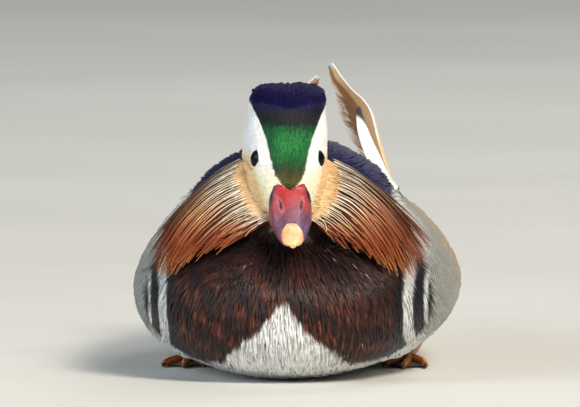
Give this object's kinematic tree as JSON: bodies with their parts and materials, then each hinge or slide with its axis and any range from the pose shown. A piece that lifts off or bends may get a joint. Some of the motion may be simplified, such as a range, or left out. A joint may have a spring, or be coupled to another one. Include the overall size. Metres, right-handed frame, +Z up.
{
  "type": "mandarin duck",
  "caption": "Life-size male mandarin duck lying on its belly with feet tucked under, head turned slightly; a still display figure.",
  "frame": {"origin": "middle of the flat under the belly, on the floor", "axes": "+Z up, -Y towards the bill, +X towards the duck's left wing"},
  "size_m": [0.1464, 0.3857, 0.1313],
  "materials": {
    "belly": "white down",
    "bill_lower": "waxy red horn",
    "bill_upper": "waxy red horn",
    "blade_left": "white vane with a black edge",
    "blade_right": "white vane with a black edge",
    "breast": "glossy maroon plumage",
    "crest": "long dark glossy plumage",
    "eye_left": "wet dark brown",
    "eye_right": "wet dark brown",
    "flank_left": "finely barred grey plumage",
    "flank_right": "finely barred grey plumage",
    "head": "white and cream plumage",
    "leg_left": "orange scaly skin",
    "leg_right": "orange scaly skin",
    "mantle": "navy glossy plumage",
    "neck": "chestnut plumage",
    "ruff_left": "long chestnut plumes with pale shafts",
    "ruff_right": "long chestnut plumes with pale shafts",
    "rump": "olive brown plumage",
    "sail_left": "orange upright vane with a white edge",
    "sail_right": "orange upright vane with a white edge",
    "tail": "dark olive vanes",
    "vent": "white down",
    "wing_left": "olive and blue-green vanes",
    "wing_right": "olive and blue-green vanes"
  },
  "bodies": {
    "root": {"belly": "belly", "bill_lower": "bill_lower", "bill_upper": "bill_upper", "blade_left": "blade_left", "blade_right": "blade_right", "breast": "breast", "crest": "crest", "eye_left": "eye_left", "eye_right": "eye_right", "flank_left": "flank_left", "flank_right": "flank_right", "head": "head", "leg_left": "leg_left", "leg_right": "leg_right", "mantle": "mantle", "neck": "neck", "ruff_left": "ruff_left", "ruff_right": "ruff_right", "rump": "rump", "sail_left": "sail_left", "sail_right": "sail_right", "tail": "tail", "vent": "vent", "wing_left": "wing_left", "wing_right": "wing_right"}
  },
  "joints": []
}
